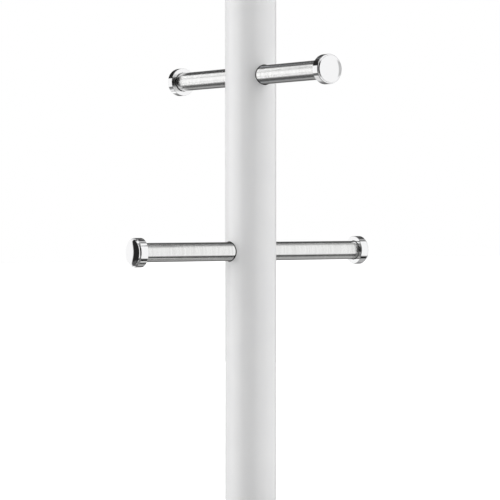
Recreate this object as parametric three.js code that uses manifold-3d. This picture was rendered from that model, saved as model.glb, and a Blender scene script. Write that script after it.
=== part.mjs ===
// Six-arm mug tree: a white tube post on a weighted round base, crossed by three steel bars.
//
// Each bar runs right through the post, so it makes two arms, and each level stands square to the
// one below it. One tie rod holds the whole tree together. It screws into the top cap, runs down
// inside the post through a cross hole in every bar, and is drawn tight by a nut in the underside
// of the base. The rod also stops the bars from sliding or turning in the post.
//
// Millimetres, +Z up. The origin is the centre of the footprint, on the surface the tree stands on.
// The lowest and the top bar lie along X, and the middle bar along Y.

import * as THREE from "three";
import { mergeVertices } from "three/addons/utils/BufferGeometryUtils.js";
import Module from "manifold-3d";

// Driving dimensions
const POST_DIAMETER = 30;
const POST_WALL = 1;

const BAR_DIAMETER = 11;
const BAR_WALL = 1;
const BAR_REACH = 80.6; // from the post's axis to the rim of an end cap's domed face
const LOWEST_BAR_HEIGHT = 175;
const BAR_SPACING = 103;
const BAR_LEVELS = ["lower", "middle", "upper"];

const END_CAP_WALL = 2.6; // around the socket that takes the bar
const END_CAP_SKIRT = 4.9; // from the square back face to the shoulder
const END_CAP_SHOULDER = 0.8; // radius that rounds the skirt over, in to the lip
const END_CAP_CROWN = 3; // solid metal between the end of the tube and the face's rim
const END_CAP_LIP = 0.8; // from the shoulder to the face's rim
const END_CAP_DOME = 1.4;
const END_CAP_SPIGOT = 8; // length of the plug inside the tube

const TOP_CAP_WALL = 2.2; // around the socket that takes the post
const TOP_CAP_SKIRT = 9; // from the square lower face to the shoulder
const TOP_CAP_SHOULDER = 1.2; // radius that rounds the skirt over, in to the lip
const TOP_CAP_CROWN = 4.5; // solid metal between the end of the tube and the face's rim
const TOP_CAP_LIP = 1.2; // from the shoulder to the face's rim
const TOP_CAP_DOME = 2.4;
const TOP_CAP_SPIGOT = 14;
const TOP_CAP_THREAD_DEPTH = 15;
const TOP_CAP_THREAD_SPARE = 1; // thread left beyond the end of the tie rod
const TOP_CAP_TO_BAR = 1; // from the end of the spigot to the top bar

const BASE_DIAMETER = 150;
const BASE_HEIGHT = 16; // to the flat top that carries the post
const BASE_SHOULDER_HEIGHT = 6; // where the upright rim starts to turn over
const BASE_EDGE_RADIUS = 4;
const BASE_SHEET = 1; // thickness of the spun cover
const BASE_FLAT_MARGIN = 5; // flat top showing around the collar
const BASE_RIM_CLEARANCE = 1.5; // from the cover's lower edge to the table

const BALLAST_PLATE = 6;
const BALLAST_BOSS_MARGIN = 1; // from the collar's edge to the boss's edge
const BALLAST_CHAMFER = 2;
const NUT_POCKET_MARGIN = 2.5; // around the washer, for a socket spanner

const PAD_THICKNESS = 2;
const PAD_MARGIN = 3; // from the pad's edge to the cover's edge
const PAD_HOLE_MARGIN = 1; // around the nut pocket

const COLLAR_WALL = 3.7; // around the socket that takes the post
const COLLAR_HEIGHT = 7;
const COLLAR_FLOOR = 3;
const COLLAR_EDGE_RADIUS = 2.5;

const FOOT_PLUG_LENGTH = 16;
const PLUG_CHAMFER = 1; // lead-in on the pieces that push into the post

const TIE_ROD_DIAMETER = 5;
const TIE_ROD_TAIL = 1; // thread standing out below the nut
const NUT_WALL = 1.5; // from the rod to a flat of the nut
const NUT_HEIGHT = 4;
const NUT_COVER = 0.4; // from the end of the rod up to the pad's underside, at the least
const WASHER_WIDTH = 5; // from the rod to the washer's edge
const WASHER_THICKNESS = 1.2;
const LOCK_WASHER_WIDTH = 2.1; // from the rod to the lock washer's edge
const LOCK_WASHER_THICKNESS = 1.2;
const LOCK_WASHER_SLOT = 1;

// Clearances
const SLIP = 0.3; // radial, between a piece and the bore it sits in
const THREAD = 0.2; // radial, between a male and a female thread
const END_GAP = 0.3; // between a bar's end and the floor of its cap

// Small edges
const BREAK = 0.4; // chamfer on a sharp edge
const CAP_BREAK = 0.2; // finer chamfer on the turned edges of a cap

// Facets around a full turn
const LARGE_ROUND = 60;
const MEDIUM_ROUND = 40;
const SMALL_ROUND = 24;
const ROD_ROUND = 16;
const ARC_STEPS = 2; // divisions in half of an arc

// Heights and radii that follow
const POST_RADIUS = POST_DIAMETER / 2;
const POST_BORE = POST_RADIUS - POST_WALL;
const POST_BOTTOM = BASE_HEIGHT + COLLAR_FLOOR;
const BAR_RADIUS = BAR_DIAMETER / 2;
const BAR_BORE = BAR_RADIUS - BAR_WALL;
const TIE_ROD_RADIUS = TIE_ROD_DIAMETER / 2;
const TIE_ROD_HOLE = TIE_ROD_RADIUS + SLIP;
const WASHER_RADIUS = TIE_ROD_RADIUS + WASHER_WIDTH;
const NUT_POCKET_RADIUS = WASHER_RADIUS + NUT_POCKET_MARGIN;
const COLLAR_RADIUS = POST_RADIUS + SLIP + COLLAR_WALL;
const BASE_RADIUS = BASE_DIAMETER / 2;
const barHeight = (level) => LOWEST_BAR_HEIGHT + level * BAR_SPACING;
const TOP_BAR_CREST = barHeight(BAR_LEVELS.length - 1) + BAR_RADIUS;
const POST_TOP = TOP_BAR_CREST + TOP_CAP_TO_BAR + TOP_CAP_SPIGOT;
const NUT_STACK = WASHER_THICKNESS + LOCK_WASHER_THICKNESS + NUT_HEIGHT + TIE_ROD_TAIL;
const POCKET_ROOF = PAD_THICKNESS + NUT_STACK + NUT_COVER;
const TIE_ROD_BOTTOM = POCKET_ROOF - NUT_STACK;
const TIE_ROD_TOP = POST_TOP - TOP_CAP_SPIGOT + TOP_CAP_THREAD_DEPTH - TOP_CAP_THREAD_SPARE;

const wasm = await Module();
wasm.setup();

const material = (color, roughness, metalness) =>
  new THREE.MeshStandardMaterial({ color, roughness, metalness });
const WHITE_PAINT = material(0xe9e9ea, 0.35, 0);
const BRUSHED_STEEL = material(0xb9b9ba, 0.32, 1);
const POLISHED_STEEL = material(0xe2e3e5, 0.06, 1);
const SPUN_STEEL = material(0xbcbdbf, 0.28, 1);
const CAST_IRON = material(0x3c3d40, 0.7, 0.6);
const ZINC_PLATE = material(0xb4b8bd, 0.35, 1);
const NYLON = material(0xd9d8d2, 0.6, 0);
const RUBBER = material(0x1c1c1e, 0.9, 0);

// A solid of revolution about Z, from a closed outline of radius and height.
function turned(outline, facets) {
  return new THREE.LatheGeometry(outline.getPoints(ARC_STEPS), facets).rotateX(Math.PI / 2);
}

// The geometry as a manifold solid, for joins and cuts.
function toSolid(geometry) {
  const bare = new THREE.BufferGeometry()
    .setAttribute("position", geometry.getAttribute("position"))
    .setIndex(geometry.getIndex());
  const merged = mergeVertices(bare, 1e-3);
  return new wasm.Manifold(
    new wasm.Mesh({
      numProp: 3,
      vertProperties: new Float32Array(merged.getAttribute("position").array),
      triVerts: new Uint32Array(merged.getIndex().array),
    }),
  );
}

function fromSolid(solid) {
  const mesh = solid.getMesh();
  const positions = new THREE.BufferAttribute(new Float32Array(mesh.vertProperties), 3);
  const faceted = new THREE.BufferGeometry()
    .setAttribute("position", positions)
    .setIndex(new THREE.BufferAttribute(new Uint32Array(mesh.triVerts), 1))
    .toNonIndexed();
  faceted.computeVertexNormals();
  return faceted;
}

function cut(geometry, ...tools) {
  const result = tools.reduce((body, tool) => body.subtract(toSolid(tool)), toSolid(geometry));
  return fromSolid(result);
}

// A plain round tool or rod along X, Y or Z, centred on the origin.
function roundBar(axis, radius, length, facets) {
  const bar = new THREE.CylinderGeometry(radius, radius, length, facets);
  if (axis === "X") bar.rotateZ(Math.PI / 2);
  if (axis === "Z") bar.rotateX(Math.PI / 2);
  return bar;
}

// A flat ring with square edges, from z = 0 up to its thickness.
function flatRing(inner, outer, thickness, facets) {
  const outline = new THREE.Path()
    .moveTo(inner, 0)
    .lineTo(outer, 0)
    .lineTo(outer, thickness)
    .lineTo(inner, thickness)
    .lineTo(inner, 0);
  return turned(outline, facets);
}

function part(name, geometry, finish, z = 0) {
  const mesh = new THREE.Mesh(geometry, finish);
  mesh.name = name;
  mesh.position.z = z;
  return mesh;
}

// The outside that every cap shares: a skirt that rounds over at its shoulder, a smaller lip and
// a domed face. The outline comes from the socket's rim and ends on the axis. Height zero is the
// rim of the face, where the lip meets the dome.
function addCapOutside(outline, radius, skirt, shoulder, lip, dome) {
  const back = -lip - skirt;
  const lipRadius = radius - shoulder;
  const rim = lipRadius - CAP_BREAK;
  const domeRadius = (rim ** 2 + dome ** 2) / (2 * dome);
  const halfAngle = Math.asin(rim / domeRadius);
  outline.lineTo(radius - CAP_BREAK, back);
  outline.lineTo(radius, back + CAP_BREAK);
  outline.absarc(lipRadius, -lip - shoulder, shoulder, 0, Math.PI / 2);
  outline.lineTo(lipRadius, -CAP_BREAK);
  outline.absarc(0, dome - domeRadius, domeRadius, Math.PI / 2 - halfAngle, Math.PI / 2);
  return outline;
}

// Turned cap for the end of a bar. Its spigot plugs the tube, and its skirt covers the tube's end.
// Height zero is the rim of the face, and +Z points away from the post.
function endCapGeometry() {
  const spigot = BAR_BORE - SLIP;
  const socket = BAR_RADIUS + SLIP;
  const radius = socket + END_CAP_WALL;
  const tip = -END_CAP_CROWN - END_CAP_SPIGOT;
  const outline = new THREE.Path()
    .moveTo(0, tip)
    .lineTo(spigot - BREAK, tip)
    .lineTo(spigot, tip + BREAK)
    .lineTo(spigot, -END_CAP_CROWN)
    .lineTo(socket, -END_CAP_CROWN)
    .lineTo(socket, -END_CAP_LIP - END_CAP_SKIRT);
  addCapOutside(
    outline, radius, END_CAP_SKIRT, END_CAP_SHOULDER, END_CAP_LIP, END_CAP_DOME,
  );
  return turned(outline, SMALL_ROUND);
}

// Tube along X with a hole from top to bottom at its middle, for the tie rod.
function barGeometry() {
  const half = BAR_REACH - END_CAP_CROWN - END_GAP;
  const tube = flatRing(BAR_BORE, BAR_RADIUS, 2 * half, SMALL_ROUND)
    .translate(0, 0, -half)
    .rotateY(Math.PI / 2);
  return cut(tube, roundBar("Z", TIE_ROD_HOLE, 2 * BAR_DIAMETER, ROD_ROUND));
}

// A bar with a cap on each end, on its own level. Every second level is turned square.
function barLevel(label, level) {
  const group = new THREE.Group();
  group.position.z = barHeight(level);
  group.rotation.z = (level % 2) * (Math.PI / 2);
  group.add(part(`bar_${label}`, barGeometry(), BRUSHED_STEEL));
  const capGeometry = endCapGeometry();
  for (const [side, direction] of [["a", -1], ["b", 1]]) {
    const cap = part(`end_cap_${label}_${side}`, capGeometry, POLISHED_STEEL);
    cap.position.x = direction * BAR_REACH;
    cap.rotation.y = direction * (Math.PI / 2);
    group.add(cap);
  }
  return group;
}

// Painted steel tube with a pair of holes at each level.
function postTube() {
  const length = POST_TOP - POST_BOTTOM;
  const tube = flatRing(POST_BORE, POST_RADIUS, length, MEDIUM_ROUND);
  const holes = BAR_LEVELS.map((_, level) => {
    const axis = level % 2 ? "Y" : "X";
    const hole = roundBar(axis, BAR_RADIUS + SLIP, 2 * POST_DIAMETER, SMALL_ROUND);
    return hole.translate(0, 0, barHeight(level) - POST_BOTTOM);
  });
  return part("post_tube", cut(tube, ...holes), WHITE_PAINT, POST_BOTTOM);
}

// Moulded plug that keeps the foot of the tube round and centres it on the tie rod.
function postFootPlug() {
  const radius = POST_BORE - SLIP;
  const outline = new THREE.Path()
    .moveTo(TIE_ROD_HOLE, 0)
    .lineTo(radius, 0)
    .lineTo(radius, FOOT_PLUG_LENGTH - PLUG_CHAMFER)
    .lineTo(radius - PLUG_CHAMFER, FOOT_PLUG_LENGTH)
    .lineTo(TIE_ROD_HOLE, FOOT_PLUG_LENGTH)
    .lineTo(TIE_ROD_HOLE, 0);
  return part("post_foot_plug", turned(outline, SMALL_ROUND), NYLON, POST_BOTTOM);
}

// Cap on the post, in the pattern of the end caps, with a blind thread for the tie rod.
// Its own height zero is the rim of its face, TOP_CAP_CROWN above the end of the tube.
function topCap() {
  const thread = TIE_ROD_RADIUS + THREAD;
  const spigot = POST_BORE - SLIP;
  const socket = POST_RADIUS + SLIP;
  const radius = socket + TOP_CAP_WALL;
  const tip = -TOP_CAP_CROWN - TOP_CAP_SPIGOT;
  const outline = new THREE.Path()
    .moveTo(0, tip + TOP_CAP_THREAD_DEPTH)
    .lineTo(thread, tip + TOP_CAP_THREAD_DEPTH)
    .lineTo(thread, tip)
    .lineTo(spigot - PLUG_CHAMFER, tip)
    .lineTo(spigot, tip + PLUG_CHAMFER)
    .lineTo(spigot, -TOP_CAP_CROWN)
    .lineTo(socket, -TOP_CAP_CROWN)
    .lineTo(socket, -TOP_CAP_LIP - TOP_CAP_SKIRT);
  addCapOutside(
    outline, radius, TOP_CAP_SKIRT, TOP_CAP_SHOULDER, TOP_CAP_LIP, TOP_CAP_DOME,
  );
  const geometry = turned(outline, MEDIUM_ROUND);
  return part("top_cap", geometry, POLISHED_STEEL, POST_TOP + TOP_CAP_CROWN);
}

// One side of the spun cover, from its flat top out and down to its lower edge. A shallow dome
// runs from the flat into the rounded shoulder, and inset moves the line in by the sheet.
function coverLine(inset) {
  const flat = COLLAR_RADIUS + BASE_FLAT_MARGIN;
  const shoulder = BASE_RADIUS - BASE_EDGE_RADIUS;
  const reach = shoulder - flat;
  const rise = BASE_HEIGHT - BASE_SHOULDER_HEIGHT;
  // The radius at which the dome is level at the flat and tangent to the rounded shoulder.
  const domeRadius =
    (reach ** 2 + rise ** 2 - BASE_EDGE_RADIUS ** 2) / (2 * (rise - BASE_EDGE_RADIUS));
  const endAngle = Math.PI / 2 - Math.asin(reach / (domeRadius - BASE_EDGE_RADIUS));
  const centre = BASE_HEIGHT - domeRadius;
  const domeEnd = domeRadius - inset;
  const edgeEnd = BASE_EDGE_RADIUS - inset;
  const line = new THREE.Path()
    .moveTo(TIE_ROD_HOLE, BASE_HEIGHT - inset)
    .absarc(flat, centre, domeEnd, Math.PI / 2, endAngle, true)
    .absarc(shoulder, BASE_SHOULDER_HEIGHT, edgeEnd, endAngle, 0, true)
    .lineTo(BASE_RADIUS - inset, BASE_RIM_CLEARANCE);
  return line.getPoints(ARC_STEPS);
}

function baseCover() {
  const outer = coverLine(0);
  const inner = coverLine(BASE_SHEET);
  const outline = [...inner, ...outer.reverse(), inner[0]];
  const geometry = new THREE.LatheGeometry(outline, LARGE_ROUND).rotateX(Math.PI / 2);
  return part("base_cover", geometry, SPUN_STEEL);
}

// Cast weight that fills the cover. Its boss carries the post, and its pocket holds the nut.
function baseBallast() {
  const rim = BASE_RADIUS - BASE_SHEET - SLIP;
  const plateTop = PAD_THICKNESS + BALLAST_PLATE;
  const boss = COLLAR_RADIUS + BALLAST_BOSS_MARGIN;
  const bossTop = BASE_HEIGHT - BASE_SHEET;
  const outline = new THREE.Path()
    .moveTo(TIE_ROD_HOLE, POCKET_ROOF)
    .lineTo(NUT_POCKET_RADIUS, POCKET_ROOF)
    .lineTo(NUT_POCKET_RADIUS, PAD_THICKNESS)
    .lineTo(rim, PAD_THICKNESS)
    .lineTo(rim, plateTop - BALLAST_CHAMFER)
    .lineTo(rim - BALLAST_CHAMFER, plateTop)
    .lineTo(boss, plateTop)
    .lineTo(boss, bossTop)
    .lineTo(TIE_ROD_HOLE, bossTop)
    .lineTo(TIE_ROD_HOLE, POCKET_ROOF);
  return part("base_ballast", turned(outline, LARGE_ROUND), CAST_IRON);
}

// Non-slip pad under the ballast, open at the middle for the nut.
function basePad() {
  const outer = BASE_RADIUS - PAD_MARGIN;
  const inner = NUT_POCKET_RADIUS + PAD_HOLE_MARGIN;
  return part("base_pad", flatRing(inner, outer, PAD_THICKNESS, MEDIUM_ROUND), RUBBER);
}

// Ring around the foot of the post, with a floor that the tube stands on.
function baseCollar() {
  const outer = COLLAR_RADIUS;
  const socket = POST_RADIUS + SLIP;
  const crown = Math.min(COLLAR_EDGE_RADIUS, COLLAR_WALL - BREAK);
  const outline = new THREE.Path()
    .moveTo(TIE_ROD_HOLE, 0)
    .lineTo(outer, 0)
    .lineTo(outer, COLLAR_HEIGHT - crown)
    .absarc(outer - crown, COLLAR_HEIGHT - crown, crown, 0, Math.PI / 2)
    .lineTo(socket, COLLAR_HEIGHT)
    .lineTo(socket, COLLAR_FLOOR)
    .lineTo(TIE_ROD_HOLE, COLLAR_FLOOR)
    .lineTo(TIE_ROD_HOLE, 0);
  return part("base_collar", turned(outline, MEDIUM_ROUND), POLISHED_STEEL, BASE_HEIGHT);
}

function tieRod() {
  const length = TIE_ROD_TOP - TIE_ROD_BOTTOM;
  const outline = new THREE.Path()
    .moveTo(0, 0)
    .lineTo(TIE_ROD_RADIUS - BREAK, 0)
    .lineTo(TIE_ROD_RADIUS, BREAK)
    .lineTo(TIE_ROD_RADIUS, length - BREAK)
    .lineTo(TIE_ROD_RADIUS - BREAK, length)
    .lineTo(0, length);
  return part("tie_rod", turned(outline, ROD_ROUND), ZINC_PLATE, TIE_ROD_BOTTOM);
}

function tieNut() {
  const corner = (TIE_ROD_RADIUS + NUT_WALL) / Math.cos(Math.PI / 6);
  const hexagon = new THREE.Shape();
  for (let side = 0; side < 6; side += 1) {
    const angle = (side * Math.PI) / 3;
    const point = [corner * Math.cos(angle), corner * Math.sin(angle)];
    if (side === 0) hexagon.moveTo(...point);
    else hexagon.lineTo(...point);
  }
  hexagon.closePath();
  const thread = new THREE.Path().absarc(0, 0, TIE_ROD_RADIUS + THREAD, 0, 2 * Math.PI, true);
  hexagon.holes.push(thread);
  const geometry = new THREE.ExtrudeGeometry(hexagon, {
    depth: NUT_HEIGHT,
    bevelEnabled: false,
    curveSegments: ROD_ROUND,
  });
  return part("tie_nut", geometry, ZINC_PLATE, TIE_ROD_BOTTOM + TIE_ROD_TAIL);
}

function tieLockWasher() {
  const radius = TIE_ROD_RADIUS + LOCK_WASHER_WIDTH;
  const ring = flatRing(TIE_ROD_HOLE, radius, LOCK_WASHER_THICKNESS, SMALL_ROUND);
  const slot = new THREE.BoxGeometry(2 * radius, LOCK_WASHER_SLOT, 3 * LOCK_WASHER_THICKNESS);
  slot.translate(radius, 0, 0);
  const z = POCKET_ROOF - WASHER_THICKNESS - LOCK_WASHER_THICKNESS;
  return part("tie_lock_washer", cut(ring, slot), ZINC_PLATE, z);
}

function tieWasher() {
  const ring = flatRing(TIE_ROD_HOLE, WASHER_RADIUS, WASHER_THICKNESS, SMALL_ROUND);
  return part("tie_washer", ring, ZINC_PLATE, POCKET_ROOF - WASHER_THICKNESS);
}

const mugTree = new THREE.Group();
mugTree.name = "mug_tree";
mugTree.add(
  basePad(),
  baseBallast(),
  baseCover(),
  baseCollar(),
  postTube(),
  postFootPlug(),
  topCap(),
  tieRod(),
  tieNut(),
  tieLockWasher(),
  tieWasher(),
  ...BAR_LEVELS.map(barLevel),
);

export default mugTree;
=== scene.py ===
"""Looks for a six-arm mug tree: turned and polished metal, a powder-coated post and studio light.

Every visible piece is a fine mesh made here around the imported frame. Outlines are in millimetres
and become metres in make_piece.
"""

import math

import bmesh
import bpy
import numpy as np
from mathutils import Matrix, Vector


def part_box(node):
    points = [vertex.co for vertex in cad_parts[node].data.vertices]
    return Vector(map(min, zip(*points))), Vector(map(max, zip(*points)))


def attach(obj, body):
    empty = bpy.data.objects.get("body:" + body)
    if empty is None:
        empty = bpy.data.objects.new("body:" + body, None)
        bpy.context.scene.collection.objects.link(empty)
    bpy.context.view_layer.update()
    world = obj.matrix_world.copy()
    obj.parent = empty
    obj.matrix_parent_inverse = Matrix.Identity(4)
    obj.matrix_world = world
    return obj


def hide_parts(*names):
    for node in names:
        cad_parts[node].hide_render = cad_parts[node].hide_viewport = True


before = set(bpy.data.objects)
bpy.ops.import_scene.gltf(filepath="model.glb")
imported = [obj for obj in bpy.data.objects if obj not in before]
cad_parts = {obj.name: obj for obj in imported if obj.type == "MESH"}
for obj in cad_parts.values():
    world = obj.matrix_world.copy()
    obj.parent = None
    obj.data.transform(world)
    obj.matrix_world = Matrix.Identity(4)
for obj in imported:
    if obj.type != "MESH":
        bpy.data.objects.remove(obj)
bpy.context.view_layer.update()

MM = 0.001
LEVELS = ("lower", "middle", "upper")
X, Y, Z = range(3)

# Mesh steps and limits
ARC_STEP = math.radians(12)  # one step of a rounded corner
SHARP_ANGLE = math.radians(28)  # edges sharper than this stay sharp in the threaded pieces
SAME_PLACE = 4  # decimals of a millimetre that tell two vertices apart
ON_AXIS = 1e-6  # a radius below this, in millimetres, is on the axis

# Sizes that the frame's boxes don't give, in millimetres
POST_WALL = 1.0
BAR_WALL = 1.0
TUBE_EDGE = 0.3  # radius of a tube's edges, as a share of its wall
SLIP = 0.3  # gap between pieces that slide together
THREAD_SLIP = 0.2  # gap between a threaded bore and the rod's crests
THREAD_PITCH = 0.8
THREAD_DEPTH = 0.45

# Radii of the edges that several pieces share, in millimetres
CRISP, FINE, SOFT, ROUND = 0.1, 0.2, 0.3, 0.8

# The outside of a cap, in millimetres
CAP_EDGE = 0.2  # radius at the back of the skirt
CAP_ROOT = 0.06  # radius between the shoulder and the lip
CAP_RIM = 0.15  # radius round the face
CAP_SHOULDER = 0.56  # the share of the shoulder that is rounded

# Looks
NOISE_LOW, NOISE_HIGH = 0.3, 0.7  # nearly all of a noise texture lies between these
PAINTED_LEAN = 0.97  # cosine of the most that a painted face leans from straight out
BAR_SHADE_LINE = (0.0001, 0.0003)  # where the painted shade line on a bar fades out, in metres from the post
# colour of the painted shade on a bar inside the post and where it comes out
BAR_SHADE_COLOR = (0.03, 0.03, 0.03, 1)
FLOOR_GLOW = 0.85  # emission that brings the floor near the white behind it

# The camera: a long lens, a little above the lowest bar and pitched slightly down. Distances
# are in metres, the lens and the sensor in millimetres.
CAMERA_AZIMUTH = math.radians(-33.52)
CAMERA_DISTANCE = 1.2996
CAMERA_ABOVE_LOWER_BAR = 0.0251
CAMERA_PITCH = math.radians(1.073)
CAMERA_SIDESTEP = -0.0004
CAMERA_LENS = 159.05
CAMERA_SENSOR = 36
CAMERA_CLIP = (0.05, 50)

# The studio, in metres
FLOOR_SIZE = 6.0  # from its middle to its edge
FLOOR_GAP = 0.0002  # keeps the floor clear of the pad's underside
LAMP_DISTANCE = 1.5
LAMP_AIM = 0.22  # height on the post that the lamps point at

# What the metal mirrors, and part of what lights the post. Each panel is laid over the ones
# above it in the list: its level, then its left, right, low and high edge and its softness, in
# degrees of azimuth from the camera's side of the post and of elevation.
STUDIO_LIGHT = 0.22
STUDIO_PANELS = (
    (1.30, -122, -56, 37, 72, 5),  # high light on the left
    (0.80, -180, 180, 76, 110, 4),  # light overhead
    (0.02, 40, 106, -72, -20, 4),  # the dark floor in front
    (0.02, -118, -96, -50, -20, 4),  # and a strip of it on the left
    (0.32, -180, 180, -99, -72, 4),  # what is straight below
    (0.42, 106, 246, -64, -25, 2),  # the table behind
    (0.14, 166, 194, -50, 0, 6),  # a dark strip down its middle
    (0.04, -146, -114, -60, -29, 2),  # the table's dark left end
    (0.08, 139, 262, 0, 58, 4),  # the dark wall behind
    (0.94, 18, 100, -39, 56, 5),  # broad light on the right
    (0.94, 84, 106, 42, 61, 4),  # its high far corner
    (0.76, 104, 110, -40, 46, 6),  # its grey far edge
    (0.85, 113, 140, -40, 50, 4),  # light beyond that edge
    (0.70, 127, 142, 53, 60, 1.5),  # a thin light above
    (0.02, -160, 27, -19, 34, 3),  # black flags, left and in front
)
STUDIO_SWEEP = (0.95, -163, -99, -19, 19, 0.07)  # white oval on the far left, over the flags


# ---------------------------------------------------------------- outlines and meshes


def unit(vector):
    return vector / np.linalg.norm(vector)


def size_mm(node):
    """Lowest and highest corner of a CAD node, in millimetres."""
    low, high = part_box(node)
    return np.array(low) / MM, np.array(high) / MM


def half_mm(node, axis=X):
    """Half of a CAD node's width along an axis, so the radius of a round one, in millimetres."""
    low, high = size_mm(node)
    return (high[axis] - low[axis]) / 2


def raised(height):
    """Moves a piece up to a height in millimetres."""
    return Matrix.Translation((0, 0, height * MM))


def laid_along(axis):
    """Turns a piece made along Z to lie along a level axis."""
    up = Vector((0, 0, 1))
    return Matrix((up, axis.cross(up), axis)).transposed().to_4x4()


def rounded(points, closed):
    """The outline of (r, z) or (r, z, radius) points, with each named radius made an arc."""
    out = []
    last = len(points) - 1
    for i, (r, z, *radius) in enumerate(points):
        corner = np.array([r, z], float)
        if not radius or (not closed and i in (0, last)):
            out.append(corner)
            continue
        before = unit(np.array(points[i - 1][:2]) - corner)
        after = unit(np.array(points[(i + 1) % len(points)][:2]) - corner)
        half = math.acos(np.clip(before @ after, -1, 1)) / 2
        centre = corner + unit(before + after) * radius[0] / math.sin(half)
        arm = before * radius[0] / math.tan(half) + corner - centre
        sweep = math.pi - 2 * half
        if np.cross(before, after) > 0:
            sweep = -sweep
        steps = max(2, math.ceil(abs(sweep) / ARC_STEP))
        for k in range(steps + 1):
            c, s = math.cos(sweep * k / steps), math.sin(sweep * k / steps)
            out.append(centre + np.array([c * arm[0] - s * arm[1], s * arm[0] + c * arm[1]]))
    return np.array(out)


def dome(radius, foot, rise, steps=14):
    """Points of a shallow dome from its edge, at height foot, up to the axis."""
    sphere = (radius**2 + rise**2) / (2 * rise)
    widest = math.asin(radius / sphere)
    angles = [widest * (1 - k / steps) for k in range(steps + 1)]
    return [(sphere * math.sin(a), foot + rise - sphere * (1 - math.cos(a))) for a in angles]


def outline_normals(points, closed):
    """A normal for each point of an outline. The longer neighbour counts most, so that a flat
    stays flat up to its rounded edge."""
    step = np.roll(points, -1, 0) - points
    side = np.stack([step[:, 1], -step[:, 0]], 1)
    side *= np.linalg.norm(step, axis=1)[:, None] ** 2
    if not closed:
        side[-1] = 0
    normals = side + np.roll(side, 1, 0)
    if not closed:
        normals[0], normals[-1] = side[0], side[-2]
    return normals / np.linalg.norm(normals, axis=1)[:, None]


def turned(points, closed=False, sides=128):
    """A solid of revolution about Z: vertices, faces and normals. An open outline starts and
    ends on the axis, and a closed one makes a ring."""
    outline = rounded(points, closed)
    flat_normals = outline_normals(outline, closed)
    angles = np.arange(sides) * 2 * math.pi / sides
    turn = np.stack([np.cos(angles), np.sin(angles)], 1)
    vertices, normals, rings, faces = [], [], [], []
    for (r, z), (nr, nz) in zip(outline, flat_normals):
        count = 1 if r < ON_AXIS else sides
        rings.append([len(vertices) + k for k in range(count)])
        for c, s in turn[:count]:
            vertices.append((r * c, r * s, z))
            normals.append((nr * c, nr * s, nz) if count > 1 else (0, 0, np.sign(nz)))
    pairs = zip(rings, rings[1:] + rings[:1]) if closed else zip(rings, rings[1:])
    for a, b in pairs:
        for k in range(sides):
            m = (k + 1) % sides
            corners = [a[k % len(a)], a[m % len(a)], b[m % len(b)], b[k % len(b)]]
            faces.append(list(dict.fromkeys(corners)))
    return np.array(vertices), faces, np.array(normals)


def make_piece(name, shape, material, node, place=None):
    """A smooth mesh from vertices, faces and normals, which stands for a CAD node."""
    vertices, faces, normals = shape
    mesh = bpy.data.meshes.new(name)
    mesh.from_pydata(vertices * MM, [], faces)
    bm = bmesh.new()
    bm.from_mesh(mesh)
    bmesh.ops.recalc_face_normals(bm, faces=bm.faces)
    bm.to_mesh(mesh)
    bm.free()
    mesh.shade_smooth()
    if normals is None:
        mesh.set_sharp_from_angle(angle=SHARP_ANGLE)
    else:
        outward = np.array([v.normal for v in mesh.vertices])
        facing = np.sign(np.sum(normals * outward, axis=1, keepdims=True))
        mesh.normals_split_custom_set_from_vertices(normals * np.where(facing == 0, 1, facing))
    piece = bpy.data.objects.new(name, mesh)
    bpy.context.scene.collection.objects.link(piece)
    if place is not None:
        mesh.transform(place)
    mesh.materials.append(material)
    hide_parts(node)
    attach(piece, "root")
    return piece


class Skin:
    """Vertices that meet at one place are one vertex, so neighbouring patches join."""

    def __init__(self):
        self.index, self.vertices, self.normals, self.faces = {}, [], [], []

    def point(self, place, normal):
        key = tuple(np.round(place, SAME_PLACE) + 0.0)
        if key not in self.index:
            self.index[key] = len(self.vertices)
            self.vertices.append(place)
            self.normals.append(unit(np.array(normal)))
        return self.index[key]

    def grid(self, rows):
        for low, high in zip(rows, rows[1:]):
            for k in range(len(low) - 1):
                self.faces.append([low[k], low[k + 1], high[k + 1], high[k]])

    def shape(self):
        return np.array(self.vertices), self.faces, np.array(self.normals)


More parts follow.
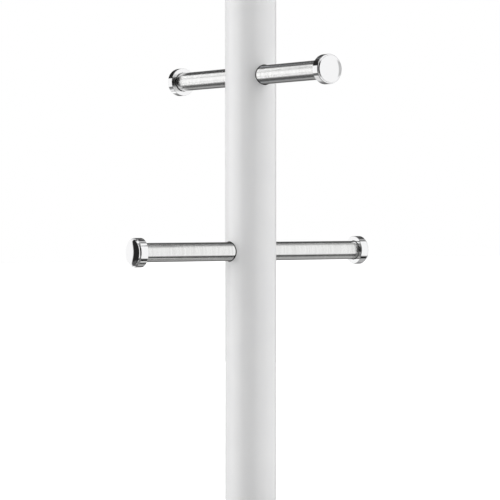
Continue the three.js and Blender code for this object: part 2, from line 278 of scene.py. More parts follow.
def holed_tube(outer, inner, length, holes, hole, patch_angle, patch_height, fine, plain):
    """Tube along Z from 0 to length. Each of holes is (z, quarter), a round hole right through
    the tube along X for quarter 0 and Y for quarter 1, with softly rounded edges. A hole sits in
    a square patch of fine steps a side, and plain steps lie between the patches."""
    skin = Skin()
    edge = TUBE_EDGE * (outer - inner)
    hole_edge_steps, end_edge_steps = 4, 3
    patch_rows = (1, 0.6, 0.3, 0.1)  # from the patch's border, 1, to the hole's edge, 0
    block_length = 4 * patch_height  # longest step along the tube between the patches
    spread = np.linspace(-patch_angle, patch_angle, fine + 1)
    between = np.linspace(patch_angle, math.pi / 2 - patch_angle, plain + 1)
    heights = [edge]
    for z, _ in sorted(holes):
        heights += [z - patch_height, z + patch_height]
    heights.append(length - edge)

    def on(radius, angle, z, side):
        """A vertex on the outer wall, side 1, or on the inner one, side -1."""
        radial = np.array([math.cos(angle), math.sin(angle), 0])
        return skin.point(radial * radius + [0, 0, z], side * radial)

    def hole_ring(radius, side, centre, z, directions, lean):
        """Vertices round the hole, where lean runs from 0 on the wall to 90 degrees in the hole."""
        at = radius - side * edge * (1 - math.cos(lean))
        reach = hole + edge * (1 - math.sin(lean))
        across = np.array([-math.sin(centre), math.cos(centre), 0])
        ring = []
        for t in directions:
            angle = centre + math.asin(reach * math.cos(t) / at)
            radial = np.array([math.cos(angle), math.sin(angle), 0])
            inward = -math.cos(t) * across - [0, 0, math.sin(t)]
            normal = side * math.cos(lean) * radial + math.sin(lean) * inward
            ring.append(skin.point(radial * at + [0, 0, z + reach * math.sin(t)], normal))
        return ring

    def hole_patch(centre, z):
        """Both walls round a hole, from the square border of the patch into the hole."""
        square = [(a, -patch_height) for a in spread[:-1]]
        steps = np.linspace(-patch_height, patch_height, fine + 1)
        square += [(patch_angle, h) for h in steps[:-1]]
        square += [(-a, patch_height) for a in spread[:-1]]
        square += [(-patch_angle, -h) for h in steps]
        directions = [math.atan2(h / patch_height, a / patch_angle) for a, h in square]
        leans = np.linspace(0, math.pi / 2, hole_edge_steps + 1)
        walls = []
        for radius, side in ((outer, 1), (inner, -1)):
            rim = hole + edge
            rows = []
            for share in patch_rows:
                row = []
                for (a, h), t in zip(square, directions):
                    near = math.asin(rim * math.cos(t) / radius)
                    angle = centre + share * a + (1 - share) * near
                    row.append(on(radius, angle, z + share * h + (1 - share) * rim * math.sin(t), side))
                rows.append(row)
            rows += [hole_ring(radius, side, centre, z, directions, lean) for lean in leans]
            skin.grid(rows)
            walls.append(rows[-1])
        skin.grid(walls)

    def end_rim(centre, angles, z, way):
        """The rounded end of the tube's wall, over its outer edge and down its inner one."""
        leans = np.linspace(0, math.pi / 2, end_edge_steps + 1)
        rows = []
        for start, side, turns in ((outer - edge, 1, leans), (inner + edge, -1, leans[::-1])):
            for lean in turns:
                out, up = side * math.cos(lean), way * math.sin(lean)
                radius, row = start + edge * out, []
                for a in angles:
                    c, s = math.cos(centre + a), math.sin(centre + a)
                    place = np.array([radius * c, radius * s, z + edge * up])
                    row.append(skin.point(place, [out * c, out * s, up]))
                rows.append(row)
        skin.grid(rows)

    for quarter in range(4):
        centre = quarter * math.pi / 2
        for block, (low, high) in enumerate(zip(heights, heights[1:])):
            at_hole = block % 2 == 1
            pierced = at_hole and sorted(holes)[block // 2][1] == quarter % 2
            count = fine if at_hole else max(2, round((high - low) / block_length))
            levels = np.linspace(low, high, count + 1)
            for radius, side in ((outer, 1), (inner, -1)):
                skin.grid([[on(radius, centre + a, z, side) for a in between] for z in levels])
                if not pierced:
                    skin.grid([[on(radius, centre + a, z, side) for a in spread] for z in levels])
            if pierced:
                hole_patch(centre, (low + high) / 2)
        for z, way in ((edge, -1), (length - edge, 1)):
            for angles in (spread, between):
                end_rim(centre, angles, z, way)
    return skin.shape()


# ---------------------------------------------------------------- materials


def new_material(name, color, metallic, roughness, **inputs):
    """A Principled material. Returns the material, its nodes, its links and the shader."""
    material = bpy.data.materials.new(name)
    material.use_nodes = True
    nodes, links = material.node_tree.nodes, material.node_tree.links
    shader = nodes["Principled BSDF"]
    shader.inputs["Base Color"].default_value = (*color, 1)
    shader.inputs["Metallic"].default_value = metallic
    shader.inputs["Roughness"].default_value = roughness
    for key, value in inputs.items():
        shader.inputs[key.replace("_", " ")].default_value = value
    return material, nodes, links, shader


def noise(nodes, links, scale, stretch=(1, 1, 1), detail=3.0):
    """Noise over the row frame, scale in cycles for each metre, stretched along the axes."""
    place = nodes.new("ShaderNodeTexCoord")
    mapping = nodes.new("ShaderNodeMapping")
    mapping.inputs["Scale"].default_value = stretch
    texture = nodes.new("ShaderNodeTexNoise")
    texture.inputs["Scale"].default_value = scale
    texture.inputs["Detail"].default_value = detail
    links.new(place.outputs["Object"], mapping.inputs["Vector"])
    links.new(mapping.outputs["Vector"], texture.inputs["Vector"])
    return texture.outputs["Fac"]


def vary(nodes, links, source, low, high, target):
    """Drives a shader input between two values."""
    ramp = nodes.new("ShaderNodeMapRange")
    ramp.inputs["From Min"].default_value = NOISE_LOW
    ramp.inputs["From Max"].default_value = NOISE_HIGH
    ramp.inputs["To Min"].default_value = low
    ramp.inputs["To Max"].default_value = high
    links.new(source, ramp.inputs["Value"])
    links.new(ramp.outputs["Result"], target)


def tint(nodes, links, source, dark, light, target):
    """Mixes two colours by a texture into a colour input."""
    ramp = nodes.new("ShaderNodeValToRGB")
    ramp.color_ramp.elements[0].position = NOISE_LOW
    ramp.color_ramp.elements[1].position = NOISE_HIGH
    ramp.color_ramp.elements[0].color = (*dark, 1)
    ramp.color_ramp.elements[1].color = (*light, 1)
    links.new(source, ramp.inputs["Fac"])
    links.new(ramp.outputs["Color"], target)


def bump(nodes, links, source, depth, shader, below=None):
    """Raises the surface by a texture, depth in metres for its full range."""
    node = nodes.new("ShaderNodeBump")
    node.inputs["Strength"].default_value = 1.0
    node.inputs["Distance"].default_value = depth
    links.new(source, node.inputs["Height"])
    if below is not None:
        links.new(below.outputs["Normal"], node.inputs["Normal"])
    links.new(node.outputs["Normal"], shader.inputs["Normal"])
    return node


def powder_coat():
    """Satin white powder coat with a fine orange-peel skin."""
    material, nodes, links, shader = new_material("white_powder_coat", (0.80, 0.80, 0.80), 0.0, 0.3)
    peel = noise(nodes, links, 900, detail=1.5)
    grain = noise(nodes, links, 5000, detail=2)
    tint(nodes, links, noise(nodes, links, 60), (0.79, 0.79, 0.795), (0.81, 0.81, 0.81),
         shader.inputs["Base Color"])
    vary(nodes, links, grain, 0.27, 0.33, shader.inputs["Roughness"])
    first = bump(nodes, links, peel, 0.00001, shader)
    bump(nodes, links, grain, 0.000002, shader, first)
    return material


def raw_steel_and_gap_shade():
    """Dark drawn steel, as it comes from the mill, inside the post. On the rounded edges of the holes
    its darkness is painted shade in the gap round each bar.
    """
    material, nodes, links, shader = new_material("raw_steel_and_gap_shade", (0.06, 0.06, 0.06), 0.6, 0.5)
    skin = noise(nodes, links, 400, (1, 1, 0.1), detail=4)
    tint(nodes, links, skin, (0.035, 0.035, 0.035), (0.08, 0.08, 0.078), shader.inputs["Base Color"])
    vary(nodes, links, skin, 0.4, 0.6, shader.inputs["Roughness"])
    bump(nodes, links, skin, 0.00001, shader)
    return material


def from_upright_axis(nodes, links):
    """Distance from the post's centre line, in metres."""
    place = nodes.new("ShaderNodeTexCoord")
    flat = nodes.new("ShaderNodeVectorMath")
    flat.operation = "MULTIPLY"
    flat.inputs[1].default_value = (1, 1, 0)
    length = nodes.new("ShaderNodeVectorMath")
    length.operation = "LENGTH"
    links.new(place.outputs["Object"], flat.inputs[0])
    links.new(flat.outputs["Vector"], length.inputs[0])
    return length.outputs["Value"]


def turning_tangent(nodes, links, axis, shader):
    """Makes a shader's highlights follow marks that run round an axis."""
    tangent = nodes.new("ShaderNodeTangent")
    tangent.direction_type = "RADIAL"
    tangent.axis = axis
    links.new(tangent.outputs["Tangent"], shader.inputs["Tangent"])


def painted_shade_in_post(nodes, links, target):
    """Paints shade into a colour input: dark inside the post and in a thin line where a bar comes out
    of it, in place of the shadow in the gap. Returns the input for the colour of the rest."""
    low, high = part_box("post_tube")
    post_radius = (high.x - low.x) / 2
    unshaded = nodes.new("ShaderNodeMapRange")
    unshaded.inputs["From Min"].default_value = post_radius + BAR_SHADE_LINE[0]
    unshaded.inputs["From Max"].default_value = post_radius + BAR_SHADE_LINE[1]
    links.new(from_upright_axis(nodes, links), unshaded.inputs["Value"])
    steel = nodes.new("ShaderNodeMix")
    steel.data_type = "RGBA"
    steel.inputs["A"].default_value = BAR_SHADE_COLOR
    links.new(unshaded.outputs["Result"], steel.inputs["Factor"])
    links.new(steel.outputs["Result"], target)
    return steel.inputs["B"]


def brushed_bar(axis):
    """Stainless steel tube that lies along an axis, ground round its girth: fine streaks run round it,
    and highlights smear along it. Painted shade darkens it inside the post and in a thin line where it
    comes out."""
    material, nodes, links, shader = new_material(
        f"brushed_steel_{axis.lower()}", (0.92, 0.92, 0.91), 1.0, 0.33, Anisotropic=1.0,
        Anisotropic_Rotation=0.25
    )
    stretch = [0.06 if axis != letter else 1.0 for letter in "XYZ"]
    fine = noise(nodes, links, 9000, stretch, detail=4)
    broad = noise(nodes, links, 1400, stretch, detail=3)
    # painted shade: the bar is dark inside the post and in a thin line where it comes out
    unshaded_color = painted_shade_in_post(nodes, links, shader.inputs["Base Color"])
    tint(nodes, links, broad, (0.85, 0.85, 0.84), (0.94, 0.94, 0.935), unshaded_color)
    vary(nodes, links, fine, 0.15, 0.22, shader.inputs["Roughness"])
    first = bump(nodes, links, broad, 0.000001, shader)
    bump(nodes, links, fine, 0.0000012, shader, first)
    turning_tangent(nodes, links, axis, shader)
    return material


def spun_steel():
    """Stainless steel with fine circular spinning marks about the vertical axis."""
    material, nodes, links, shader = new_material(
        "spun_steel", (0.74, 0.74, 0.73), 1.0, 0.3, Anisotropic=0.7, Anisotropic_Rotation=0.25
    )
    rings = nodes.new("ShaderNodeTexNoise")
    rings.noise_dimensions = "1D"
    rings.inputs["Scale"].default_value = 5200
    rings.inputs["Detail"].default_value = 4
    links.new(from_upright_axis(nodes, links), rings.inputs["W"])
    marks = rings.outputs["Fac"]
    tint(nodes, links, marks, (0.70, 0.70, 0.69), (0.78, 0.78, 0.77), shader.inputs["Base Color"])
    vary(nodes, links, marks, 0.24, 0.36, shader.inputs["Roughness"])
    bump(nodes, links, marks, 0.000003, shader)
    turning_tangent(nodes, links, "Z", shader)
    return material


def polished_steel():
    """Mirror-polished steel with faint wiping marks."""
    material, nodes, links, shader = new_material("polished_steel", (0.97, 0.97, 0.975), 1.0, 0.05)
    marks = noise(nodes, links, 2500, (1, 1, 0.2), detail=4)
    vary(nodes, links, marks, 0.03, 0.08, shader.inputs["Roughness"])
    bump(nodes, links, noise(nodes, links, 350, detail=2), 0.0000008, shader)
    return material


def cast_iron():
    """Black-oxide casting with a sandy skin."""
    material, nodes, links, shader = new_material("cast_iron", (0.05, 0.05, 0.055), 0.9, 0.6)
    sand = noise(nodes, links, 1600, detail=6)
    tint(nodes, links, noise(nodes, links, 180, detail=5), (0.035, 0.035, 0.04),
         (0.08, 0.075, 0.07), shader.inputs["Base Color"])
    vary(nodes, links, sand, 0.5, 0.75, shader.inputs["Roughness"])
    bump(nodes, links, sand, 0.00012, shader)
    return material


def zinc_plate():
    """Bright zinc with the cloudy, slightly blue cast of plating."""
    material, nodes, links, shader = new_material("zinc_plate", (0.60, 0.64, 0.68), 1.0, 0.3)
    cloud = noise(nodes, links, 500, detail=5)
    tint(nodes, links, cloud, (0.54, 0.58, 0.63), (0.70, 0.71, 0.72), shader.inputs["Base Color"])
    vary(nodes, links, cloud, 0.22, 0.42, shader.inputs["Roughness"])
    bump(nodes, links, noise(nodes, links, 4000, detail=3), 0.000004, shader)
    return material


def nylon():
    """Natural moulded nylon, a little translucent."""
    material, nodes, links, shader = new_material(
        "natural_nylon", (0.74, 0.73, 0.67), 0.0, 0.5, Subsurface_Weight=0.15
    )
    shader.inputs["Subsurface Radius"].default_value = (0.002, 0.002, 0.0016)
    spark = noise(nodes, links, 2600, detail=3)
    tint(nodes, links, noise(nodes, links, 120), (0.71, 0.70, 0.63), (0.77, 0.76, 0.70),
         shader.inputs["Base Color"])
    vary(nodes, links, spark, 0.45, 0.6, shader.inputs["Roughness"])
    bump(nodes, links, spark, 0.00002, shader)
    return material


def rubber():
    """Matt black rubber with a fine moulded grain and a trace of dust."""
    material, nodes, links, shader = new_material("pad_rubber", (0.02, 0.02, 0.022), 0.0, 0.8)
    grain = noise(nodes, links, 3000, detail=4)
    tint(nodes, links, noise(nodes, links, 90, detail=5), (0.015, 0.015, 0.017),
         (0.035, 0.034, 0.033), shader.inputs["Base Color"])
    vary(nodes, links, grain, 0.7, 0.92, shader.inputs["Roughness"])
    bump(nodes, links, grain, 0.00003, shader)
    return material


# ---------------------------------------------------------------- the post, its bars and caps


def make_post(material):
    """The post, powder-coated outside. The inside of the tube and its holes, with their rounded edges,
    is dark bare steel; on the rounded hole edges it is painted shade in the gap round each bar. The
    metal doesn't mirror the post."""
    low, high = size_mm("post_tube")
    outer = half_mm("post_tube")
    holes = []
    for level, name in enumerate(LEVELS):
        bar_low, bar_high = size_mm(f"bar_{name}")
        holes.append(((bar_low[Z] + bar_high[Z]) / 2 - low[Z], level % 2))
    hole = half_mm("bar_upper", Z) + SLIP
    shape = holed_tube(
        outer, outer - POST_WALL, high[Z] - low[Z], holes, hole,
        patch_angle=math.radians(36), patch_height=1.5 * hole, fine=18, plain=6,
    )
    post = make_piece("painted_post", shape, material, "post_tube", raised(low[Z]))
    post.data.materials.append(raw_steel_and_gap_shade())
    # Faces that lean further from straight out take the dark steel: inside the tube it is bare steel,
    # and round the holes it is painted shade in the gap.
    for face in post.data.polygons:
        outward = Vector((face.center.x, face.center.y, 0)).normalized()
        face.material_index = int(face.normal.dot(outward) < PAINTED_LEAN)
    post.visible_glossy = False
    return post


def make_bar(name, material):
    """A tube through the post, with a cross hole for the tie rod."""
    low, high = size_mm(f"bar_{name}")
    span = high - low
    along = int(np.argmax(span))
    radius = span[Z] / 2
    length = span[along]
    rod_hole = half_mm("tie_rod") + SLIP
    shape = holed_tube(
        radius, radius - BAR_WALL, length, [(length / 2, 0)], rod_hole,
        patch_angle=math.radians(43), patch_height=1.4 * rod_hole, fine=14, plain=2,
    )
    axis = Vector((0, 0, 0))
    axis[along] = 1
    centre = (low + high) / 2
    start = Matrix.Translation(Vector(centre * MM) - axis * length * MM / 2)
    place = start @ laid_along(axis)
    return make_piece(f"brushed_bar_{name}", shape, material, f"bar_{name}", place)


def cap_outside(radius, skirt, shoulder, lip, rise):
    """The outside that every cap shares, from the back of its skirt to the axis: a skirt that
    rounds over at its shoulder, a smaller lip and a domed face, whose rim is at height zero."""
    face = radius - shoulder
    return [
        (radius, -lip - skirt, CAP_EDGE),
        (radius, -lip, CAP_SHOULDER * shoulder),
        (face, -lip, CAP_ROOT),
        (face, 0, CAP_RIM),
        *dome(face - CAP_RIM, 0, rise)[1:],
    ]


def make_end_cap(name, side, material):
    """Cap with a spigot inside the bar. Side a is at the bar's negative end, side b at the
    positive one."""
    node = f"end_cap_{name}_{side}"
    low, high = size_mm(node)
    along = int(np.argmin(high - low))
    direction = 1 if side == "b" else -1
    radius, bar_radius = half_mm(node, Z), half_mm(f"bar_{name}", Z)
    rise, lip, shoulder, skirt = 1.4, 0.8, 0.8, 4.9
    crown, spigot_length, spigot_edge, mouth_edge = 3.0, 8.0, 0.5, 0.15
    assert abs(high[along] - low[along] - rise - crown - spigot_length) < 0.05
    spigot = bar_radius - BAR_WALL - SLIP
    socket = bar_radius + SLIP
    outline = [
        (0, -crown - spigot_length),
        (spigot, -crown - spigot_length, spigot_edge),
        (spigot, -crown, CRISP),
        (socket, -crown, CRISP),
        (socket, -lip - skirt, mouth_edge),
        *cap_outside(radius, skirt, shoulder, lip, rise),
    ]
    axis = Vector((0, 0, 0))
    axis[along] = direction
    rim = (low + high) / 2
    rim[along] = (high[along] if direction > 0 else low[along]) - direction * rise
    place = Matrix.Translation(Vector(rim * MM)) @ laid_along(axis)
    return make_piece(f"polished_{node}", turned(outline), material, node, place)


def make_top_cap(material):
    """Cap with a spigot inside the post, bored for the tie rod."""
    low, high = size_mm("top_cap")
    radius, post_radius = half_mm("top_cap"), half_mm("post_tube")
    rise, lip, shoulder, skirt = 2.4, 1.2, 1.2, 9.0
    crown, thread_depth = 4.5, 15.0
    rim = high[Z] - rise
    spigot_end = low[Z] - rim
    thread = half_mm("tie_rod") + THREAD_SLIP
    spigot = post_radius - POST_WALL - SLIP
    socket = post_radius + SLIP
    outline = [
        (0, spigot_end + thread_depth),
        (thread, spigot_end + thread_depth, FINE),
        (thread, spigot_end, SOFT),
        (spigot, spigot_end, ROUND),
        (spigot, -crown, FINE),
        (socket, -crown, FINE),
        (socket, -lip - skirt, FINE),
        *cap_outside(radius, skirt, shoulder, lip, rise),
    ]
    shape = turned(outline, sides=192)
    return make_piece("polished_top_cap", shape, material, "top_cap", raised(rim))


def make_foot_plug(material):
    """Moulded plug with ribs that grip the inside of the tube, and a bevel at its top."""
    low, high = size_mm("post_foot_plug")
    bore, radius = half_mm("tie_rod") + SLIP, half_mm("post_foot_plug")
    height = high[Z] - low[Z]
    groove, step, crest, slope, rib_edge = 0.35, 2.6, 0.8, 0.4, 0.12
    bevel, plain_top, foot_edge = 1, 2, 0.5
    outline = [(bore, 0, SOFT), (radius, 0, foot_edge)]
    z = step
    while z + step < height - plain_top:
        end = z + step - crest
        outline += [
            (radius, z, rib_edge),
            (radius - groove, z + groove, rib_edge),
            (radius - groove, end - slope, rib_edge),
            (radius, end, rib_edge),
        ]
        z += step
    outline += [(radius, height - bevel, FINE), (radius - bevel, height, SOFT), (bore, height, SOFT)]
    shape = turned(outline, closed=True)
    return make_piece("ribbed_foot_plug", shape, material, "post_foot_plug", raised(low[Z]))


# ---------------------------------------------------------------- the base


def make_cover(material):
    """Spun sheet: a flat under the collar, a wide dome and a rounded edge that drops straight."""
    low, high = size_mm("base_cover")
    hole, radius, top = half_mm("tie_rod") + SLIP, half_mm("base_cover"), high[Z]
    sheet, edge, shoulder_height, margin = 1.0, 4.0, 6.0, 5.0
    dome_steps, edge_steps = 24, 12
    flat = half_mm("base_collar") + margin
    shoulder = radius - edge
    reach, rise = shoulder - flat, top - shoulder_height
    sphere = (reach**2 + rise**2 - edge**2) / (2 * (rise - edge))
    lean = math.asin(reach / (sphere - edge))

    def face(inset):
        line = [(hole, top - inset)]
        for k in range(dome_steps + 1):
            a, reach = lean * k / dome_steps, sphere - inset
            line.append((flat + reach * math.sin(a), top - sphere + reach * math.cos(a)))
        for k in range(1, edge_steps + 1):
            a, reach = lean + (math.pi / 2 - lean) * k / edge_steps, edge - inset
            line.append((shoulder + reach * math.sin(a), shoulder_height + reach * math.cos(a)))
        return line

    outline = [
        *face(0),
        (radius, low[Z], SOFT),
        (radius - sheet, low[Z], SOFT),
        *reversed(face(sheet)),
    ]
    return make_piece("spun_cover", turned(outline, closed=True, sides=256), material, "base_cover")


def make_collar(material):
    """Cup that the post stands in."""
    low, high = size_mm("base_collar")
    post_low, _ = size_mm("post_tube")
    radius, socket = half_mm("base_collar"), half_mm("post_tube") + SLIP
    hole = half_mm("tie_rod") + SLIP
    height, floor = high[Z] - low[Z], post_low[Z] - low[Z]
    foot_edge, top_edge = 0.25, 2.5
    outline = [
        (hole, 0, FINE),
        (radius, 0, foot_edge),
        (radius, height, top_edge),
        (socket, height, SOFT),
        (socket, floor, FINE),
        (hole, floor, FINE),
    ]
    shape = turned(outline, closed=True, sides=192)
    return make_piece("polished_collar", shape, material, "base_collar", raised(low[Z]))


def make_ballast(material):
    """Cast weight: a thick plate with a bevelled rim, and a boss over the pocket for the nut."""
    low, high = size_mm("base_ballast")
    _, washer_high = size_mm("tie_washer")
    hole, rim = half_mm("tie_rod") + SLIP, half_mm("base_ballast")
    boss_margin, pocket_margin, plate_height, bevel = 1, 2.5, 6, 2
    rim_edge, bevel_edge, boss_root = 0.6, 1.0, 1.5
    boss = half_mm("base_collar") + boss_margin
    pocket = half_mm("tie_washer") + pocket_margin
    bottom, top, roof = low[Z], high[Z], washer_high[Z]
    plate = bottom + plate_height
    outline = [
        (hole, roof, SOFT),
        (pocket, roof, ROUND),
        (pocket, bottom, ROUND),
        (rim, bottom, rim_edge),
        (rim, plate - bevel, bevel_edge),
        (rim - bevel, plate, bevel_edge),
        (boss, plate, boss_root),
        (boss, top, ROUND),
        (hole, top, SOFT),
    ]
    shape = turned(outline, closed=True, sides=192)
    return make_piece("cast_ballast", shape, material, "base_ballast")


def make_pad(material):
    """Rubber ring with moulded grip grooves in its underside."""
    _, high = size_mm("base_pad")
    hole_margin, rim_margin, rim_edge = 3.5, 4, 0.5
    outer, inner = half_mm("base_pad"), half_mm("tie_washer") + hole_margin
    groove, depth, first, count = 1.6, 0.6, 20.0, 9
    spacing = (outer - rim_margin - first) / (count - 1)
    outline = [(inner, 0, SOFT)]
    for k in range(count):
        r = first + k * spacing
        outline += [
            (r - groove / 2, 0, FINE),
            (r - groove / 4, depth, FINE),
            (r + groove / 4, depth, FINE),
            (r + groove / 2, 0, FINE),
        ]
    outline += [(outer, 0, rim_edge), (outer, high[Z], rim_edge), (inner, high[Z], SOFT)]
    shape = turned(outline, closed=True, sides=192)
    return make_piece("grooved_pad", shape, material, "base_pad")


# ---------------------------------------------------------------- the tie rod and its fasteners


def make_tie_rod(material):
    """Rod with rolled threads and a chamfered point at both ends."""
    low, high = size_mm("tie_rod")
    radius, length = half_mm("tie_rod"), high[Z] - low[Z]
    threaded, chamfer = 18.0, 0.6
    steepness, crest = 1.25, 0.12  # of the thread's flanks, and the flat top of each turn
    sides, steps_a_pitch = 40, 10
    step = THREAD_PITCH / steps_a_pitch
    ends = np.arange(0, threaded + step, step)
    heights = np.concatenate([ends, length - ends[::-1]])
    angles = np.arange(sides) * 2 * math.pi / sides
    vertices, faces = [(0, 0, 0)], []
    for z in heights:
        depth_in = min(z, length - z)
        fade = min(1, max(0, (threaded - depth_in) / (2 * THREAD_PITCH)))
        point = max(0, 1 - depth_in / chamfer)
        wave = np.abs(((z / THREAD_PITCH - angles / (2 * math.pi)) % 1) * 2 - 1)
        cut = THREAD_DEPTH * fade * np.clip(steepness * wave - crest, 0, 1)
        ring = radius - np.maximum(cut, point * chamfer)
        vertices += [(r * math.cos(a), r * math.sin(a), z) for r, a in zip(ring, angles)]
    vertices.append((0, 0, length))
    for k in range(sides):
        m = (k + 1) % sides
        faces.append([0, 1 + m, 1 + k])
        for row in range(len(heights) - 1):
            a = 1 + row * sides
            faces.append([a + k, a + m, a + sides + m, a + sides + k])
        a = 1 + (len(heights) - 1) * sides
        faces.append([a + k, a + m, len(vertices) - 1])
    shape = (np.array(vertices), faces, None)
    return make_piece("threaded_tie_rod", shape, material, "tie_rod", raised(low[Z]))


def make_nut(material):
    """Hexagon nut, chamfered on both faces by a cone and countersunk at the thread."""
    low, high = size_mm("tie_nut")
    bore, flat = half_mm("tie_rod") + THREAD_SLIP, half_mm("tie_nut", Y)
    height = high[Z] - low[Z]
    sides, sink, cone = 96, 0.35, math.radians(30)
    angles = np.arange(sides) * 2 * math.pi / sides
    to_flat = angles % (math.pi / 3) - math.pi / 6
    hexagon = flat / np.cos(to_flat)
    washer_face = 0.97 * flat  # radius of the round face that the cone leaves
    level = np.ones(sides)

    def ring(radii, heights):
        return [(r * math.cos(a), r * math.sin(a), z) for r, a, z in zip(radii, angles, heights)]

    def chamfer(radii):
        return np.maximum(0, radii - washer_face) * math.tan(cone)

    rings = [
        ring(level * bore, level * sink),
        ring(level * (bore + sink), level * 0),
        ring(level * washer_face, level * 0),
        ring(hexagon, chamfer(hexagon)),
        ring(hexagon, height - chamfer(hexagon)),
        ring(level * washer_face, level * height),
        ring(level * (bore + sink), level * height),
        ring(level * bore, level * (height - sink)),
    ]
    vertices = [p for r in rings for p in r]
    faces = []
    for row in range(len(rings)):
        a, b = row * sides, (row + 1) % len(rings) * sides
        for k in range(sides):
            m = (k + 1) % sides
            faces.append([a + k, a + m, b + m, b + k])
    shape = (np.array(vertices), faces, None)
    return make_piece("hexagon_nut", shape, material, "tie_nut", raised(low[Z]))


def make_lock_washer(material):
    """Split ring of nearly square section with its slot at +X."""
    low, high = size_mm("tie_lock_washer")
    inner, outer = half_mm("tie_rod") + SLIP, half_mm("tie_lock_washer", Y)
    height = high[Z] - low[Z]
    half_slot, inner_edge, outer_edge, steps = 0.5, 0.15, 0.25, 96
    slot_angle = math.asin(half_slot / inner)
    section = rounded(
        [
            (inner, 0, inner_edge),
            (outer, 0, outer_edge),
            (outer, height, outer_edge),
            (inner, height, inner_edge),
        ],
        closed=True,
    )
    turns = np.linspace(slot_angle, 2 * math.pi - slot_angle, steps + 1)
    vertices = [(r * math.cos(a), r * math.sin(a), z) for a in turns for r, z in section]
    n = len(section)
    faces = [list(range(n)), list(range((len(turns) - 1) * n, len(turns) * n))]
    for row in range(len(turns) - 1):
        for k in range(n):
            m = (k + 1) % n
            faces.append([row * n + k, row * n + m, (row + 1) * n + m, (row + 1) * n + k])
    shape = (np.array(vertices), faces, None)
    return make_piece("split_lock_washer", shape, material, "tie_lock_washer", raised(low[Z]))


def make_washer(material):
    """Stamped washer, sharp below and rounded above."""
    low, high = size_mm("tie_washer")
    inner, outer = half_mm("tie_rod") + SLIP, half_mm("tie_washer")
    height = high[Z] - low[Z]
    sharp_edge, rolled_edge = 0.15, 0.4
    outline = [
        (inner, 0, CRISP),
        (outer, 0, sharp_edge),
        (outer, height, rolled_edge),
        (inner, height, SOFT),
    ]
    shape = turned(outline, closed=True, sides=96)
    return make_piece("flat_washer", shape, material, "tie_washer", raised(low[Z]))


# ---------------------------------------------------------------- studio


def studio_world():
    """White to the camera. Everything else sees the studio's panels and its sweep, so the metal
    has light and dark edges to mirror."""
    world = bpy.data.worlds.new("studio")
    bpy.context.scene.world = world
    world.use_nodes = True
    nodes, links = world.node_tree.nodes, world.node_tree.links
    nodes.clear()

    def math_node(operation, *values):
        """The result of an operation on numbers and sockets."""
        node = nodes.new("ShaderNodeMath")
        node.operation = operation
        for socket, value in zip(node.inputs, values):
            if isinstance(value, (int, float)):
                socket.default_value = value
            else:
                links.new(value, socket)
        return node.outputs[0]

    place = nodes.new("ShaderNodeTexCoord")
    turn = nodes.new("ShaderNodeVectorRotate")
    turn.rotation_type = "Z_AXIS"
    turn.inputs["Angle"].default_value = -CAMERA_AZIMUTH
    axes = nodes.new("ShaderNodeSeparateXYZ")
    links.new(place.outputs["Generated"], turn.inputs["Vector"])
    links.new(turn.outputs["Vector"], axes.inputs["Vector"])
    front = math_node("MULTIPLY", axes.outputs["Y"], -1.0)
    azimuth = math_node("DEGREES", math_node("ARCTAN2", axes.outputs["X"], front))
    elevation = math_node("DEGREES", math_node("ARCSINE", axes.outputs["Z"]))

    def edge(distance, half, soft):
        """1 where a distance is under half, 0 where it is over, and smooth between."""
        node = nodes.new("ShaderNodeMapRange")
        node.interpolation_type = "SMOOTHSTEP"
        node.inputs["From Min"].default_value = half + soft
        node.inputs["From Max"].default_value = half - soft
        links.new(distance, node.inputs["Value"])
        return node.outputs["Result"]

    def cover(under, level, mask):
        """Lays an even level over what is under it, where the mask is 1."""
        node = nodes.new("ShaderNodeMix")
        node.inputs["B"].default_value = level
        links.new(mask, node.inputs["Factor"])
        if isinstance(under, float):
            node.inputs["A"].default_value = under
        else:
            links.new(under, node.inputs["A"])
        return node.outputs["Result"]

    def distances(left, right, low, high):
        """How far a direction is from the middle of a panel, sideways and up or down."""
        away = math_node("SUBTRACT", azimuth, (left + right) / 2)
        away = math_node("ABSOLUTE", math_node("WRAP", away, 180.0, -180.0))
        above = math_node("ABSOLUTE", math_node("SUBTRACT", elevation, (low + high) / 2))
        return away, above

    def panel(under, level, left, right, low, high, soft):
        """A soft-edged panel from azimuth left to right and elevation low to high, laid over
        what is under it."""
        away, above = distances(left, right, low, high)
        across = edge(away, (right - left) / 2, soft)
        return cover(under, level, math_node("MULTIPLY", across, edge(above, (high - low) / 2, soft)))

    def oval(under, level, left, right, low, high, soft):
        """The same with an oval outline, its softness a share of its size."""
        away, above = distances(left, right, low, high)
        away = math_node("POWER", math_node("DIVIDE", away, (right - left) / 2), 2.0)
        above = math_node("POWER", math_node("DIVIDE", above, (high - low) / 2), 2.0)
        return cover(under, level, edge(math_node("SQRT", math_node("ADD", away, above)), 1.0, soft))

    light = STUDIO_LIGHT
    for level, left, right, low, high, soft in STUDIO_PANELS:
        light = panel(light, level, left, right, low, high, soft)
    light = oval(light, *STUDIO_SWEEP)

    studio = nodes.new("ShaderNodeBackground")
    links.new(light, studio.inputs["Color"])
    white = nodes.new("ShaderNodeBackground")
    white.inputs["Color"].default_value = (1, 1, 1, 1)
    path = nodes.new("ShaderNodeLightPath")
    choose = nodes.new("ShaderNodeMixShader")
    output = nodes.new("ShaderNodeOutputWorld")
    links.new(path.outputs["Is Camera Ray"], choose.inputs["Fac"])
    links.new(studio.outputs["Background"], choose.inputs[1])
    links.new(white.outputs["Background"], choose.inputs[2])
    links.new(choose.outputs["Shader"], output.inputs["Surface"])


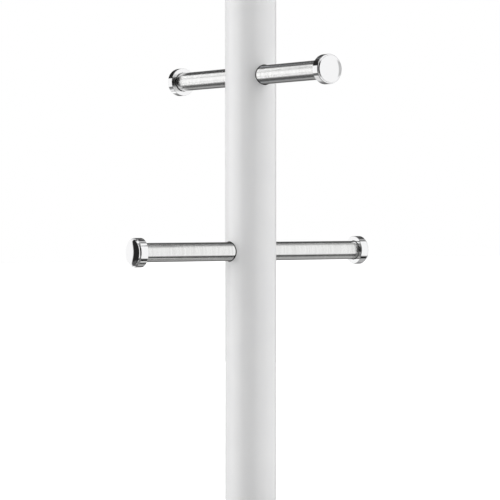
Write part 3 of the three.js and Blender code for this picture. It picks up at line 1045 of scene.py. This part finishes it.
def soft_lamp(name, azimuth, elevation, size, power, receivers=None):
    """A large soft lamp aimed at the tree, at an azimuth and elevation in degrees. With receivers
    it lights, and is mirrored in, those pieces only. Without, it lights every piece and isn't
    mirrored, because the metal mirrors the studio's panels."""
    data = bpy.data.lights.new(name, "AREA")
    data.shape = "RECTANGLE"
    data.size, data.size_y = size
    data.energy = power
    lamp = bpy.data.objects.new(name, data)
    turn, rise = CAMERA_AZIMUTH + math.radians(azimuth), math.radians(elevation)
    away = Vector((math.sin(turn) * math.cos(rise), -math.cos(turn) * math.cos(rise), math.sin(rise)))
    lamp.location = Vector((0, 0, LAMP_AIM)) + away * LAMP_DISTANCE
    lamp.rotation_euler = away.to_track_quat("Z", "Y").to_euler()
    lamp.visible_camera = False
    lamp.visible_glossy = receivers is not None
    if receivers:
        lit = bpy.data.collections.new(name + "_receivers")
        for piece in receivers:
            lit.objects.link(piece)
        lamp.light_linking.receiver_collection = lit
    bpy.context.scene.collection.objects.link(lamp)


def make_floor():
    """A pale floor that blends into the white behind and throws no light on the pieces."""
    square = ((-1, -1), (1, -1), (1, 1), (-1, 1))
    corners = [(x * FLOOR_SIZE, y * FLOOR_SIZE, -FLOOR_GAP) for x, y in square]
    mesh = bpy.data.meshes.new("floor")
    mesh.from_pydata(corners, [], [(0, 1, 2, 3)])
    floor = bpy.data.objects.new("floor", mesh)
    bpy.context.scene.collection.objects.link(floor)
    material, _, _, shader = new_material("pale_floor", (0.9, 0.9, 0.9), 0.0, 0.9)
    shader.inputs["Specular IOR Level"].default_value = 0.0
    shader.inputs["Emission Color"].default_value = (1, 1, 1, 1)
    shader.inputs["Emission Strength"].default_value = FLOOR_GLOW
    mesh.materials.append(material)
    floor.visible_glossy = False
    floor.visible_diffuse = False


def make_camera():
    """Looks at the post from the front left, with the lowest bar a little below it."""
    low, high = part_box("bar_lower")
    height = (low.z + high.z) / 2 + CAMERA_ABOVE_LOWER_BAR
    sine, cosine = math.sin(CAMERA_AZIMUTH), math.cos(CAMERA_AZIMUTH)
    data = bpy.data.cameras.new("camera")
    data.lens = CAMERA_LENS
    data.sensor_width = CAMERA_SENSOR
    data.clip_start, data.clip_end = CAMERA_CLIP
    camera = bpy.data.objects.new("camera", data)
    camera.location = (
        CAMERA_DISTANCE * sine + CAMERA_SIDESTEP * cosine,
        -CAMERA_DISTANCE * cosine + CAMERA_SIDESTEP * sine,
        height,
    )
    camera.rotation_euler = (math.pi / 2 - CAMERA_PITCH, 0, CAMERA_AZIMUTH)
    bpy.context.scene.collection.objects.link(camera)
    bpy.context.scene.camera = camera


# ---------------------------------------------------------------- the scene

make_camera()
studio_world()
make_floor()
bpy.context.scene.view_settings.view_transform = "Standard"

polished = polished_steel()
zinc = zinc_plate()
post = make_post(powder_coat())
bar_steel = {axis: brushed_bar(axis) for axis in "XY"}
bars, caps = [], []
for level, level_name in enumerate(LEVELS):
    bars.append(make_bar(level_name, bar_steel["XY"[level % 2]]))
    for cap_side in "ab":
        caps.append(make_end_cap(level_name, cap_side, polished))
base_and_top = [make_top_cap(polished)]
make_foot_plug(nylon())
base_and_top += [make_cover(spun_steel()), make_collar(polished)]
make_ballast(cast_iron())
make_pad(rubber())
make_tie_rod(zinc)
make_nut(zinc)
make_lock_washer(zinc)
make_washer(zinc)

# Azimuth and elevation from the camera's side, size in metres and power in watts
soft_lamp("post_left_lamp", -79, 3, (1.75, 1.1), 15, [post])
soft_lamp("front_lamp", -38, 5, (1.2, 2.0), 11)
soft_lamp("right_lamp", 72, 5, (1.2, 2.0), 13)
soft_lamp("back_lamp", 170, 10, (1.2, 2.0), 7)
soft_lamp("wall_lamp", -160, 34, (2.4, 1.2), 4.5, base_and_top)
soft_lamp("bar_left_lamp", -110, 4, (1.0, 1.1), 1.2, bars)
soft_lamp("bar_high_lamp", -128, 28, (0.6, 0.42), 1.0, bars)
soft_lamp("bar_low_lamp", -119, -19, (0.5, 0.26), 0.4, bars)
soft_lamp("cap_low_lamp", -138, -31, (0.75, 0.32), 0.5, caps)
